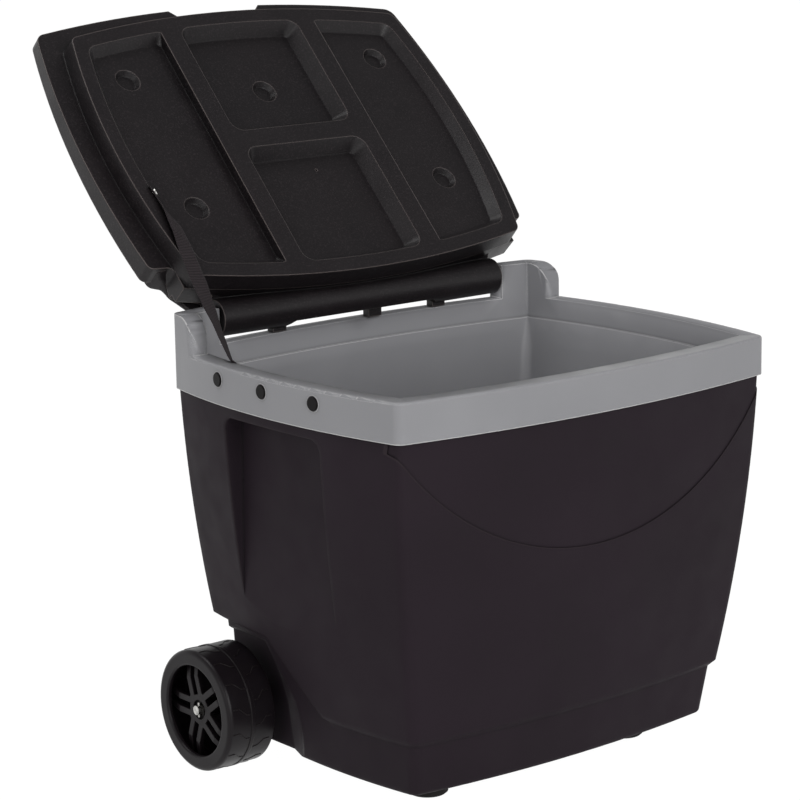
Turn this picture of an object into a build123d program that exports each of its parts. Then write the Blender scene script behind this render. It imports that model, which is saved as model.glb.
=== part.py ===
"""Wheeled cooler: dark insulated tub, grey liner with a raised collar, hollow hinged lid, two wheels.

Millimetres. +X is to the right seen from the front, the front faces -Y, +Z is up.
The origin is on the floor, under the middle of the tub. The lid stands open.
"""

import os
from math import asin, atan2, cos, degrees, radians, sin, tan

from build123d import *

os.makedirs("parts", exist_ok=True)

# Stance: heights of the tub are counted from its underside
wheel_radius = 65.5
axle_height = 41.5
base = wheel_radius - axle_height

# Collar outline: four bowed sides through the corners
collar_half_length = 248.0
collar_half_depth = 186.5
collar_bow_front = 22.8
collar_bow_end = 21.3
collar_corner = 12.0
rim_height = 415.0
collar_height = 41.0
rim_width = 21.0
rim_thickness = 4.0
skirt_thickness = 3.2
rim_edge_radius = 2.5

# Tub shell: how far each level is drawn in from the collar's corners
shell_wall = 3.0
belly_height = 215.0
belly_in_x = 13.5
belly_in_y = 11.7
belly_bow_loss = 2.6
waist_height = 60.6
waist_in_x = 35.2
waist_in_y = 28.6
waist_bow_loss = 6.3
step_height = 6.7
step_width = 5.8
plinth_draft_x = 5.9
plinth_draft_y = 8.3
plinth_bow_loss = 7.9
base_edge_radius = 5.0

# Hand grips sunk into the two ends
grip_half_width = 77.0
grip_bottom = 150.0
grip_top_drop = 14.0
grip_floor_bottom_in = 4.0
grip_floor_top_in = 8.0
grip_corner = 12.0
grip_draft = 6.0

# Shallow panel on the front, bounded by an arc that hangs from the corners
panel_depth = 1.0
panel_corner_drop = 11.0
panel_arc_drop = 127.0

# Wheel arches in the rear lower corners
lip_height = 131.0
lip_bend_ahead = 76.0
lip_foot_ahead = 159.0
lip_bend_radius = 18.0
apron_in_x = 33.0
apron_in_y = 27.0
arch_wrap_in = 98.0
well_floor_in = 46.0
well_depth = 15.0
well_height = 118.0
well_front_ahead = 115.0
well_bend_ahead = 51.0
well_slope = 58.0
well_floor_step = 40.0
well_radius = 16.0

# Liner
liner_wall = 2.5
ledge_drop = 24.0
ledge_width = 4.0
shelf_drop = 29.0
shelf_in_x = 23.4
shelf_in_y = 24.2
shelf_bow_loss = 3.8
shelf_end_flattening = 9.6
liner_floor_height = 66.0
liner_floor_in_x = 70.0
liner_floor_in_y = 52.0
liner_floor_bow_loss = 8.0
liner_floor_flattening = 4.0
liner_floor_corner = 22.0
foam_gap = 0.3
seat_gap = 0.3

# Ears at the rear corners of the collar
ear_height = 38.0
ear_front_in = 49.5
ear_inner_in = 51.0
ear_shoulder = 24.0
ear_nose = 9.5

# Collar plugs
plug_head_radius = 7.2
plug_head_thickness = 1.8
plug_shank_radius = 5.5
plug_shank_length = 8.0
plug_fit = 0.3
plug_spacing = 79.7
plug_middle_y = 3.0
plug_drop = 14.5

# Hinge
hinge_behind = 2.5
hinge_rise = 25.0
open_angle = 134.0
pin_radius = 3.0
pin_fit = 0.05
pin_length = 34.0
roll_radius = 20.0
roll_end_gap = 4.0

# Lid, in the closed position
lid_seat_gap = 0.4
flange_thickness = 15.0
flange_rear_rise = 8.6
flange_in = 0.5
flange_ear_gap = 4.0
neck_ear_gap = 2.5
flange_neck_in = 18.5
flange_rear_in = 24.5
flange_corner = 14.0
neck_radius = 8.0
notch_half_width = 54.0
notch_depth = 10.0
notch_slant = 12.0
plateau_depth = 22.4
plateau_in_x = 23.5
plateau_in_y = 23.0
plateau_bow_loss = 1.0
plateau_draft = 1.5
ring_width = 17.0
ring_slope = 41.0
rib_slope = 35.0
side_pocket_depth = 11.0
middle_pocket_depth = 16.0
pocket_corner = 15.0
rib_inner_x = 81.5
rib_outer_x = 107.0
cross_rib_front_y = -16.0
cross_rib_rear_y = 7.5
crown_rise = 14.6
crown_in = 25.0
crown_slope = 34.0
cavity_in = 31.0
fairing_length = 72.0
fairing_rear_in = 26.0
lid_skin = 3.0
dimple_mouth_radius = 14.5
dimple_floor_radius = 10.5
dimple_depth = 6.0
side_dimple_in = 75.8
front_dimple_in = 80.0
rear_dimple_in = 115.0
middle_dimple_in = 108.5
vent_radius = 1.4
vent_x = 10.0
vent_y = 37.0
grip_cut_half = 96.0
grip_cut_slant = 10.0
grip_cut_depth = 7.0
tab_reach = 4.0
tab_width = 18.0
tab_depth = 10.0
roll_bore = 10.0
roll_end_wall = 43.0
middle_tab_x = 20.0
side_tab_x = 111.0

# Strap that holds the open lid
strap_width = 18.0
strap_thickness = 1.6
strap_foot_y = 82.0
strap_foot_drop = 11.0
strap_top_y = 52.0
strap_top_drop = 5.0
strap_tab = 16.0
strap_edge_in = 26.0
strap_edge_y = 96.0
strap_edge_clear = 4.0
strap_edge_tilt = 26.0
strap_flat_rise = 9.0
strap_spans = 4
rivet_head_radius = 5.0
rivet_head_height = 1.4
rivet_shank_radius = 2.0
rivet_shank_length = 5.0
rivet_fit = 0.2

# Running gear
axle_in = 63.5
axle_radius = 5.0
axle_fit = 0.05
axle_overhang = 4.0
sleeve_radius = 9.0
sleeve_bore_fit = 0.15
sleeve_stand_out = 3.0
wheel_reach = 78.6
wheel_outer_width = 32.6
wheel_inner_width = 25.0
rim_opening_radius = 48.5
tread_wall = 4.0
shoulder_radius = 5.0
sidewall_thickness = 5.0
seam_width = 4.4
seam_height = 0.7
hub_recess = 7.0
hub_radius = 20.0
hub_thickness = 6.0
hub_tube_radius = 10.0
hub_dish_radius = 10.5
hub_dish_depth = 3.5
spoke_pairs = 5
spoke_start = -18.0
spoke_width = 6.5
spoke_half_spacing = 7.2
spoke_thickness = 5.0
spoke_kink_radius = 36.0
spoke_drop = 8.0
web_thickness = 3.0
spacer_radius = 9.0
washer_radius = 7.0
washer_thickness = 1.6
cotter_radius = 1.3
cotter_length = 16.0
running_gap = 0.4

# Front feet
foot_in_x = 110.0
foot_in_y = 98.5
foot_radius = 24.0
foot_tread_radius = 21.0
foot_edge = 2.0
screw_head_radius = 4.5
screw_head_height = 3.0
screw_shank_radius = 2.0
screw_recess = 9.0
screw_fit = 0.2
screw_reach = 8.0

# Worked out from the sizes above
rim_z = base + rim_height
collar_bottom_height = rim_height - collar_height
channel_top_height = rim_height - rim_thickness
ledge_height = rim_height - ledge_drop
shelf_height = ledge_height - shelf_drop
grip_top = collar_bottom_height - grip_top_drop
panel_corner_height = collar_bottom_height - panel_corner_drop
panel_low_height = panel_corner_height - panel_arc_drop
hinge_y = collar_half_depth + hinge_behind
hinge_z = rim_z + hinge_rise
ear_front_y = collar_half_depth - ear_front_in
ear_inner_x = collar_half_length - ear_inner_in
roll_half_length = ear_inner_x - roll_end_gap
foot_x = collar_half_length - foot_in_x
foot_y = foot_in_y - collar_half_depth
axle_y = collar_half_depth - axle_in
well_floor_x = collar_half_length - well_floor_in
wheel_outer_x = well_floor_x + wheel_reach
wheel_middle_x = wheel_outer_x - wheel_outer_width
wheel_inner_x = wheel_middle_x - wheel_inner_width
axle_z = base + axle_height
far = collar_half_length + collar_half_depth
lid_turn = radians(open_angle)
lid_up = Vector(0, sin(lid_turn), cos(lid_turn))
lid_back = Vector(0, cos(lid_turn), -sin(lid_turn))
hinge_point = Vector(0, hinge_y, hinge_z)
lid_plane = Plane(
    origin=hinge_point - lid_back * hinge_y - lid_up * hinge_rise, x_dir=(1, 0, 0), z_dir=lid_up
)


def tub_level(height):
    """Level plane at a height above the tub's underside."""
    return Plane.XY.offset(base + height)


def bowed_outline(
    plane, in_x=0.0, in_y=0.0, bow_loss=0.0, corner=collar_corner, inset=0.0, flatter_ends=0.0
):
    """Outline with four bowed sides, its corners drawn in from the collar's and then inset."""
    length = collar_half_length - in_x
    depth = collar_half_depth - in_y
    front = depth + collar_bow_front - bow_loss
    end = length + collar_bow_end - bow_loss - flatter_ends
    with BuildSketch(plane) as outline:
        with BuildLine():
            ThreePointArc((-length, -depth), (0, -front), (length, -depth))
            ThreePointArc((length, -depth), (end, 0), (length, depth))
            ThreePointArc((length, depth), (0, front), (-length, depth))
            ThreePointArc((-length, depth), (-end, 0), (-length, -depth))
        make_face()
        if inset:
            offset(amount=-inset, kind=Kind.INTERSECTION)
        fillet(outline.vertices(), max(corner - inset, 2.0))
    return outline.sketch


def collar_end_plane(y, inset=0.0, side=1):
    """Plane lying on the collar's right or left end face at a place y along it, inset into the wall."""
    radius = (collar_half_depth**2 + collar_bow_end**2) / (2 * collar_bow_end)
    centre_x = collar_half_length + collar_bow_end - radius
    outward = Vector(side * (radius**2 - y**2) ** 0.5, y, 0) / radius
    origin = Vector(side * centre_x, 0, rim_z) + outward * (radius - inset)
    return Plane(origin=origin, x_dir=(0, 0, 1), z_dir=outward)


def plinth_outlines(inset):
    """The plinth's outlines at its foot and at the step."""
    top_in_x = waist_in_x + step_width
    top_in_y = waist_in_y + step_width
    foot = bowed_outline(
        tub_level(inset), top_in_x + plinth_draft_x, top_in_y + plinth_draft_y, plinth_bow_loss, inset=inset
    )
    step = tub_level(waist_height - step_height)
    top = bowed_outline(step, top_in_x, top_in_y, plinth_bow_loss, inset=inset)
    return [foot, top]


def grip_hollow(inset):
    """Hollow of the right-hand grip: a flat floor that leans inwards and drafted walls."""
    bottom_x = collar_half_length - grip_floor_bottom_in
    top_x = collar_half_length - grip_floor_top_in
    lean = degrees(atan2(bottom_x - top_x, grip_top - grip_bottom))
    outward = (cos(radians(lean)), 0, sin(radians(lean)))
    floor = Plane(origin=(bottom_x, 0, base + grip_bottom), x_dir=(0, 1, 0), z_dir=outward)
    rise = grip_top - grip_bottom
    with BuildPart() as hollow:
        with BuildSketch(floor.offset(-inset)) as mouth:
            with Locations((0, rise / 2)):
                Rectangle(2 * grip_half_width + 2 * inset, rise + 2 * inset)
            fillet(mouth.vertices(), grip_corner)
        extrude(amount=3 * rim_width, taper=-grip_draft)
    return hollow.part


def arch_apron(inset):
    """Skin taken off below the arch's lip, down to the surface of the plinth carried upwards."""
    step_z = waist_height - step_height
    lip_foot_y = axle_y - lip_foot_ahead
    lip_bend_y = axle_y - lip_bend_ahead
    apron_level = tub_level(lip_height + rim_width)
    apron = bowed_outline(apron_level, apron_in_x, apron_in_y, plinth_bow_loss, inset=inset)
    with BuildPart() as skin:
        with BuildSketch(Plane.YZ.offset(collar_half_length - arch_wrap_in - inset)) as lip:
            with BuildLine():
                Polyline(
                    (far, base + lip_height + inset),
                    (lip_bend_y - inset / 2, base + lip_height + inset),
                    (lip_foot_y - inset, base + step_z),
                    (lip_foot_y - inset, 0),
                    (far, 0),
                    close=True,
                )
            make_face()
            fillet(lip.vertices().sort_by(Axis.Y)[:3].sort_by(Axis.Z)[-1:], lip_bend_radius)
        extrude(amount=far)
        loft([*plinth_outlines(inset), apron], ruled=True, mode=Mode.SUBTRACT)
    return skin.part


def well_outline(x, front_y, bend_y, height):
    """Outline of the wheel well on an upright plane: open to the rear and below."""
    with BuildSketch(Plane.YZ.offset(x)) as outline:
        with BuildLine():
            Polyline(
                (far, base + height),
                (bend_y, base + height),
                (front_y + well_slope / 4, base + height - well_slope),
                (front_y, 0),
                (far, 0),
                close=True,
            )
        make_face()
        fillet(outline.vertices().sort_by(Axis.Y)[1:3], well_radius)
    return outline.sketch


def wheel_well(inset):
    """Hollow behind the right wheel: a flat floor with walls that slope out to its mouth."""
    front_y = axle_y - well_front_ahead
    bend_y = axle_y - well_bend_ahead
    mouth = well_outline(well_floor_x + well_depth, front_y - inset, bend_y - inset, well_height + inset)
    floor = well_outline(
        well_floor_x - inset,
        front_y + well_floor_step - inset,
        bend_y + well_floor_step / 2 - inset,
        well_height - well_floor_step / 4 + inset,
    )
    with BuildPart() as hollow:
        loft([floor, mouth], ruled=True)
        extrude(mouth, amount=far, dir=(1, 0, 0))
    return hollow.part


def tub_upper(inset, top_height):
    """The tub above its step: a belly that swells to the shoulder, then straight up inside the collar."""
    waist = bowed_outline(tub_level(waist_height), waist_in_x, waist_in_y, waist_bow_loss, inset=inset)
    belly = bowed_outline(tub_level(belly_height), belly_in_x, belly_in_y, belly_bow_loss, inset=inset)
    shoulder = bowed_outline(tub_level(collar_bottom_height), inset=skirt_thickness + seat_gap + inset)
    with BuildPart() as upper:
        loft([waist, belly, shoulder])
        extrude(shoulder, amount=top_height - collar_bottom_height)
    return upper.part


def tub_form(inset, top_height):
    """Outside of the tub, with its grips and arches, drawn in by inset."""
    waist = bowed_outline(tub_level(waist_height), waist_in_x, waist_in_y, waist_bow_loss, inset=inset)
    upper = tub_upper(inset, top_height)
    hollows = [grip_hollow(inset), arch_apron(inset), wheel_well(inset)]
    with BuildPart() as form:
        loft([*plinth_outlines(inset), waist], ruled=True)
        add(upper)
        if not inset:
            fillet(form.faces().sort_by(Axis.Z)[0].edges(), base_edge_radius)
        add(hollows, mode=Mode.SUBTRACT)
        add([mirror(hollow, about=Plane.YZ, mode=Mode.PRIVATE) for hollow in hollows], mode=Mode.SUBTRACT)
    return form.part


def liner_form(grow):
    """Space inside the liner, up to its ledge, made larger by grow."""
    floor = bowed_outline(
        tub_level(liner_floor_height - grow),
        liner_floor_in_x,
        liner_floor_in_y,
        liner_floor_bow_loss,
        corner=liner_floor_corner,
        inset=-grow,
        flatter_ends=liner_floor_flattening,
    )
    shelf = bowed_outline(
        tub_level(shelf_height),
        shelf_in_x,
        shelf_in_y,
        shelf_bow_loss,
        inset=-grow,
        flatter_ends=shelf_end_flattening,
    )
    ledge = bowed_outline(tub_level(ledge_height), inset=rim_width + ledge_width - grow)
    with BuildPart() as form:
        loft([floor, shelf, ledge], ruled=True)
    return form.part


def front_panel_cut():
    """Thin skin over the front's hanging arc, for sinking the panel."""
    with BuildPart() as cut:
        with BuildSketch(Plane.XZ):
            with BuildLine():
                corner = (collar_half_length, base + panel_corner_height)
                ThreePointArc((-corner[0], corner[1]), (0, base + panel_low_height), corner)
                Line(corner, (corner[0], rim_z))
                Line((corner[0], rim_z), (-corner[0], rim_z))
                Line((-corner[0], rim_z), (-corner[0], corner[1]))
            make_face()
        extrude(amount=far)
    return cut.part


# Holes for the plugs that hold the collar on the shell
plug_places = [plug_middle_y + step * plug_spacing for step in (-1, 0, 1)]
plug_planes = [collar_end_plane(y) for y in plug_places]
with BuildPart() as plug_holes:
    for plane in plug_planes:
        with BuildSketch(plane):
            with Locations((-plug_drop, 0)):
                Circle(plug_shank_radius + plug_fit)
        extrude(amount=-plug_shank_length - plug_fit)
    mirror(about=Plane.YZ)

# Outer shell of the tub
shell_top_height = channel_top_height - seat_gap
tub_outside = tub_form(0.0, shell_top_height)
tub_inside = tub_form(shell_wall, rim_height)
panel_skin = front_panel_cut()
panel_floor = tub_upper(panel_depth, shell_top_height)
with BuildPart() as outer_shell:
    add(tub_outside)
    add(panel_skin - panel_floor, mode=Mode.SUBTRACT)
    add([tub_inside, plug_holes.part], mode=Mode.SUBTRACT)
    with BuildSketch(Plane.YZ):
        with Locations((axle_y, axle_z)):
            Circle(sleeve_radius + seat_gap)
    extrude(amount=far, both=True, mode=Mode.SUBTRACT)
    with BuildSketch(Plane.XY):
        with Locations((foot_x, foot_y), (-foot_x, foot_y)):
            Circle(screw_shank_radius + screw_fit)
    extrude(amount=base + shell_wall, mode=Mode.SUBTRACT)
outer_shell.part.label = "outer_shell"
export_step(outer_shell.part, "parts/outer_shell.step")

# Liner and collar, one grey moulding: the rim is a channel that sits over the shell's top edge
opening = bowed_outline(tub_level(ledge_height), inset=rim_width)
channel_outer = bowed_outline(tub_level(collar_bottom_height), inset=skirt_thickness)
channel_inner = bowed_outline(tub_level(collar_bottom_height), inset=rim_width - liner_wall)
liner_outside = liner_form(liner_wall)
liner_inside = liner_form(0.0)
strap_foot_plane = collar_end_plane(strap_foot_y, inset=rim_width, side=-1)

with BuildPart() as right_ear:
    with BuildSketch(Plane.XY.offset(rim_z - rim_thickness)) as ear_plan:
        add(bowed_outline(Plane.XY))
        add(bowed_outline(Plane.XY, inset=rim_width), mode=Mode.SUBTRACT)
        with Locations((ear_inner_x, ear_front_y)):
            Rectangle(far, far, align=Align.MIN, mode=Mode.INTERSECT)
        fillet(ear_plan.vertices().group_by(Axis.Y)[0], ear_nose)
    extrude(amount=ear_height + rim_thickness)
    with BuildSketch(Plane.YZ) as ear_side:
        with Locations((ear_front_y, rim_z - rim_thickness)):
            Rectangle(far, ear_height + rim_thickness, align=Align.MIN)
        fillet(ear_side.vertices().group_by(Axis.Y)[0].sort_by(Axis.Z)[-1], ear_shoulder)
    extrude(amount=far, mode=Mode.INTERSECT)
    with BuildSketch(Plane.YZ.offset(ear_inner_x)):
        with Locations((hinge_y, hinge_z)):
            Circle(pin_radius + pin_fit)
    extrude(amount=pin_length / 3, mode=Mode.SUBTRACT)
left_ear = mirror(right_ear.part, about=Plane.YZ)

with BuildPart() as strap_rivet_hole:
    with BuildSketch(strap_foot_plane):
        with Locations((-strap_foot_drop, 0)):
            Circle(rivet_shank_radius + rivet_fit)
    extrude(amount=2 * liner_wall)

with BuildPart() as liner_collar:
    extrude(bowed_outline(tub_level(collar_bottom_height)), amount=collar_height)
    fillet(liner_collar.faces().sort_by(Axis.Z)[-1].edges(), rim_edge_radius)
    extrude(channel_outer, amount=channel_top_height - collar_bottom_height, mode=Mode.SUBTRACT)
    extrude(channel_inner, amount=channel_top_height - collar_bottom_height)
    add(liner_outside)
    add([right_ear.part, left_ear])
    extrude(opening, amount=rim_height - ledge_height, mode=Mode.SUBTRACT)
    add(liner_inside, mode=Mode.SUBTRACT)
    add([plug_holes.part, strap_rivet_hole.part], mode=Mode.SUBTRACT)
liner_collar.part.label = "liner_collar"
export_step(liner_collar.part, "parts/liner_collar.step")

# Insulating foam between shell and liner
foam_outside = tub_form(shell_wall + foam_gap, channel_top_height)
foam_inside = liner_form(liner_wall + foam_gap)
with BuildPart() as body_insulation:
    add(foam_outside)
    extrude(bowed_outline(tub_level(collar_bottom_height)), amount=collar_height, mode=Mode.SUBTRACT)
    add(foam_inside, mode=Mode.SUBTRACT)
    with BuildSketch(Plane.YZ):
        with Locations((axle_y, axle_z)):
            Circle(sleeve_radius + foam_gap)
    extrude(amount=far, both=True, mode=Mode.SUBTRACT)
    with BuildSketch(Plane.XY):
        with Locations((foot_x, foot_y), (-foot_x, foot_y)):
            Circle(screw_shank_radius + foam_gap)
    extrude(amount=base + shell_wall + screw_reach + foam_gap, mode=Mode.SUBTRACT)
body_insulation.part.label = "body_insulation"
export_step(body_insulation.part, "parts/body_insulation.step")

# Push-in plugs along each end of the collar
with BuildPart() as right_collar_plugs:
    for plane in plug_planes:
        with BuildSketch(plane.offset(-plug_shank_length)):
            with Locations((-plug_drop, 0)):
                Circle(plug_shank_radius)
        extrude(amount=plug_shank_length + seat_gap)
        with BuildSketch(plane.offset(seat_gap)):
            with Locations((-plug_drop, 0)):
                Circle(plug_head_radius)
        extrude(amount=plug_head_thickness)
    heads = right_collar_plugs.faces().filter_by(GeomType.PLANE).group_by(SortBy.AREA)[-1]
    chamfer([edge for face in heads for edge in face.edges()], plug_head_thickness / 3)
right_collar_plugs.part.label = "right_collar_plugs"
export_step(right_collar_plugs.part, "parts/right_collar_plugs.step")

left_collar_plugs = mirror(right_collar_plugs.part, about=Plane.YZ)
left_collar_plugs.label = "left_collar_plugs"
export_step(left_collar_plugs, "parts/left_collar_plugs.step")

# Hinge pins, held in the ears and turning in the ends of the lid's roll
with BuildPart() as right_hinge_pin:
    with BuildSketch(Plane.YZ.offset(ear_inner_x + pin_length / 3)):
        with Locations((hinge_y, hinge_z)):
            Circle(pin_radius)
    extrude(amount=-pin_length)
right_hinge_pin.part.label = "right_hinge_pin"
export_step(right_hinge_pin.part, "parts/right_hinge_pin.step")

left_hinge_pin = mirror(right_hinge_pin.part, about=Plane.YZ)
left_hinge_pin.label = "left_hinge_pin"
export_step(left_hinge_pin, "parts/left_hinge_pin.step")


# Lid: heights are counted from the rim's top, with the lid closed
flange_bottom = lid_seat_gap
flange_top = flange_bottom + flange_thickness
plateau_bottom = flange_bottom - plateau_depth
ring_inset = plateau_draft + ring_width
side_floor = plateau_bottom + side_pocket_depth
middle_floor = plateau_bottom + middle_pocket_depth
crown_top = flange_top + crown_rise
flange_side_y = ear_front_y - flange_ear_gap
neck_y = ear_front_y - neck_ear_gap
neck_x = collar_half_length - flange_neck_in
side_dimple_x = collar_half_length - side_dimple_in
side_dimples = [
    (side_dimple_x, front_dimple_in - collar_half_depth),
    (-side_dimple_x, front_dimple_in - collar_half_depth),
    (side_dimple_x, collar_half_depth - rear_dimple_in),
    (-side_dimple_x, collar_half_depth - rear_dimple_in),
]
middle_dimple = (0, middle_dimple_in - collar_half_depth)
dimple_draft = degrees(atan2(dimple_mouth_radius - dimple_floor_radius, dimple_depth))


def collar_side_x(y):
    """Distance of the collar's end face from the middle at a place y along it."""
    return collar_end_plane(y).origin.X


def lid_level(height):
    """Plane parallel to the lid, at a height above the rim when the lid is closed."""
    return lid_plane.offset(height)


def flange_outline(height):
    """Lid's outer edge: it follows the rim, then necks in between the ears."""
    front_x = collar_half_length - flange_in
    front_y = collar_half_depth - flange_in / 2
    middle_y = (flange_side_y - front_y) / 2
    rear_y = collar_half_depth - flange_rear_in
    rear_middle_y = rear_y + collar_bow_front - plateau_bow_loss
    with BuildSketch(lid_level(height)) as outline:
        with BuildLine():
            ThreePointArc((-front_x, -front_y), (0, -front_y - collar_bow_front), (front_x, -front_y))
            for side in (1, -1):
                ThreePointArc(
                    (side * front_x, -front_y),
                    (side * (collar_side_x(middle_y) - flange_in), middle_y),
                    (side * (collar_side_x(flange_side_y) - flange_in), flange_side_y),
                )
                Polyline(
                    (side * (collar_side_x(flange_side_y) - flange_in), flange_side_y),
                    (side * neck_x, neck_y),
                    (side * neck_x, rear_y),
                )
            ThreePointArc((neck_x, rear_y), (0, rear_middle_y), (-neck_x, rear_y))
        make_face()
        fillet(outline.vertices().group_by(Axis.Y)[0], flange_corner)
        fillet(outline.vertices().group_by(Axis.Y)[-3] + outline.vertices().group_by(Axis.Y)[-2], neck_radius)
        with BuildLine(mode=Mode.PRIVATE) as notch:
            deep_y = -front_y - collar_bow_front + notch_depth
            Polyline(
                (-notch_half_width, deep_y),
                (notch_half_width, deep_y),
                (notch_half_width + notch_slant, deep_y - notch_slant),
                (-notch_half_width - notch_slant, deep_y - notch_slant),
                close=True,
            )
        make_face(notch.edges(), mode=Mode.SUBTRACT)
    return outline.sketch


def plateau_outline(height, inset=0.0):
    """Outline of the raised underside that fits into the liner's mouth."""
    return bowed_outline(lid_level(height), plateau_in_x, plateau_in_y, plateau_bow_loss, inset=inset)


def pocket_outline(x_from, x_to, y_from, y_to):
    """One pocket's outline at the ring's face: what the ribs leave of the ring's opening."""
    opening = bowed_outline(
        Plane.XY,
        plateau_in_x,
        plateau_in_y,
        plateau_bow_loss,
        corner=pocket_corner + ring_inset,
        inset=ring_inset,
    )
    with BuildSketch(lid_level(plateau_bottom)) as pocket:
        with Locations(((x_from + x_to) / 2, (y_from + y_to) / 2)):
            Rectangle(x_to - x_from, y_to - y_from)
        add(opening, mode=Mode.INTERSECT)
        rib_corners = [v for v in pocket.vertices() if min(abs(v.X - x_from), abs(v.X - x_to)) < 0.01]
        fillet(rib_corners, pocket_corner)
    return pocket.sketch


# Side pockets slope towards the ring and stand steep against the ribs
side_run = side_pocket_depth * tan(radians(ring_slope))
with BuildPart() as right_pocket:
    extrude(
        pocket_outline(rib_outer_x - side_run, far, -far, far),
        amount=side_pocket_depth,
        taper=ring_slope,
    )
    with BuildSketch(lid_level(plateau_bottom)):
        with Locations((rib_outer_x, 0)):
            Rectangle(far, 2 * far, align=(Align.MIN, Align.CENTER))
    extrude(amount=side_pocket_depth, mode=Mode.INTERSECT)
left_pocket = mirror(right_pocket.part, about=Plane.YZ)

with BuildPart() as middle_pockets:
    for y_from, y_to in ((-far, cross_rib_front_y), (cross_rib_rear_y, far)):
        extrude(
            pocket_outline(-rib_inner_x, rib_inner_x, y_from, y_to),
            amount=middle_pocket_depth,
            taper=rib_slope,
        )

with BuildPart() as lid_cavity:
    loft(
        [
            bowed_outline(lid_level(side_floor + lid_skin), cavity_in, cavity_in, plateau_bow_loss),
            bowed_outline(lid_level(flange_top - lid_skin), cavity_in, cavity_in, plateau_bow_loss),
            bowed_outline(
                lid_level(crown_top - lid_skin),
                crown_in + crown_slope,
                crown_in + crown_slope,
                plateau_bow_loss,
            ),
        ],
        ruled=True,
    )
    with BuildSketch(lid_level(middle_floor + lid_skin)):
        Rectangle(2 * rib_inner_x, 2 * far)
    extrude(amount=side_floor - middle_floor, mode=Mode.SUBTRACT)
    for floor, places in ((side_floor, side_dimples), (middle_floor, [middle_dimple])):
        with BuildSketch(lid_level(floor)):
            with Locations(*places):
                Circle(dimple_mouth_radius + lid_skin)
        extrude(amount=dimple_depth + lid_skin, taper=dimple_draft, mode=Mode.SUBTRACT)

# The lid's edge grows thicker towards the hinge
edge_turn = atan2(flange_rear_rise, collar_half_depth + ear_front_y)
with BuildPart() as lid_slab:
    extrude(flange_outline(flange_bottom), amount=flange_thickness + 2 * flange_rear_rise)
    split(
        bisect_by=Plane(
            origin=lid_plane.from_local_coords(Vector(0, -collar_half_depth, flange_top)),
            x_dir=(1, 0, 0),
            z_dir=lid_up * cos(edge_turn) - lid_back * sin(edge_turn),
        ),
        keep=Keep.BOTTOM,
    )

with BuildPart() as lid_fairing:
    with BuildSketch(Plane(origin=hinge_point, x_dir=lid_back, z_dir=(1, 0, 0))):
        Circle(roll_radius)
        with BuildLine():
            Polyline(
                (-fairing_length, flange_top - hinge_rise),
                (-roll_radius / 2, roll_radius * 3**0.5 / 2),
                (0, 0),
                (-roll_radius * 3**0.5 / 2, -roll_radius / 2),
                (-fairing_rear_in, flange_bottom - hinge_rise),
                (-fairing_length, flange_bottom - hinge_rise),
                close=True,
            )
        make_face()
    extrude(amount=neck_x, both=True)
    with BuildSketch(lid_plane):
        with BuildLine():
            corner_y = hinge_y - fairing_rear_in
            Polyline(
                (-neck_x, 0),
                (neck_x, 0),
                (neck_x, corner_y - roll_radius / 2),
                (roll_half_length, corner_y),
                (roll_half_length, hinge_y + far),
                (-roll_half_length, hinge_y + far),
                (-roll_half_length, corner_y),
                (-neck_x, corner_y - roll_radius / 2),
                close=True,
            )
        make_face()
    extrude(amount=far, both=True, mode=Mode.INTERSECT)

roll_low_z = hinge_z - roll_radius
with BuildPart() as grip_cut:
    with BuildSketch(Plane.XZ.offset(-hinge_y)):
        with BuildLine():
            Polyline(
                (-grip_cut_half - grip_cut_slant, roll_low_z),
                (-grip_cut_half, roll_low_z + grip_cut_depth),
                (grip_cut_half, roll_low_z + grip_cut_depth),
                (grip_cut_half + grip_cut_slant, roll_low_z),
                close=True,
            )
        make_face()
    extrude(amount=roll_radius, both=True)

with BuildPart() as roll_tabs:
    with BuildSketch(Plane.XY.offset(roll_low_z - tab_reach)):
        with Locations((middle_tab_x, hinge_y), (side_tab_x, hinge_y), (-side_tab_x, hinge_y)):
            Rectangle(tab_width, tab_depth)
    extrude(amount=tab_reach + grip_cut_depth + roll_radius / 4)

# Sloped inner wall of the ring on the left, where the strap's upper end is riveted
wall_depth = collar_half_depth - plateau_in_y
wall_bow = collar_bow_end - plateau_bow_loss
wall_radius = (wall_depth**2 + wall_bow**2) / (2 * wall_bow)
wall_middle_x = collar_half_length - plateau_in_x + wall_bow - wall_radius
wall_turn = asin(strap_top_y / (wall_radius - ring_inset))
wall_edge_x = wall_middle_x + (wall_radius - ring_inset) * cos(wall_turn)
wall_inward = Vector(cos(wall_turn), 0, 0) - lid_back * sin(wall_turn)
wall_down = wall_inward * sin(radians(ring_slope)) + lid_up * cos(radians(ring_slope))
strap_top_plane = Plane(
    origin=lid_plane.from_local_coords(Vector(-wall_edge_x, strap_top_y, plateau_bottom))
    + wall_down * strap_top_drop,
    x_dir=wall_down,
    z_dir=wall_inward * cos(radians(ring_slope)) - lid_up * sin(radians(ring_slope)),
)

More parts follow.
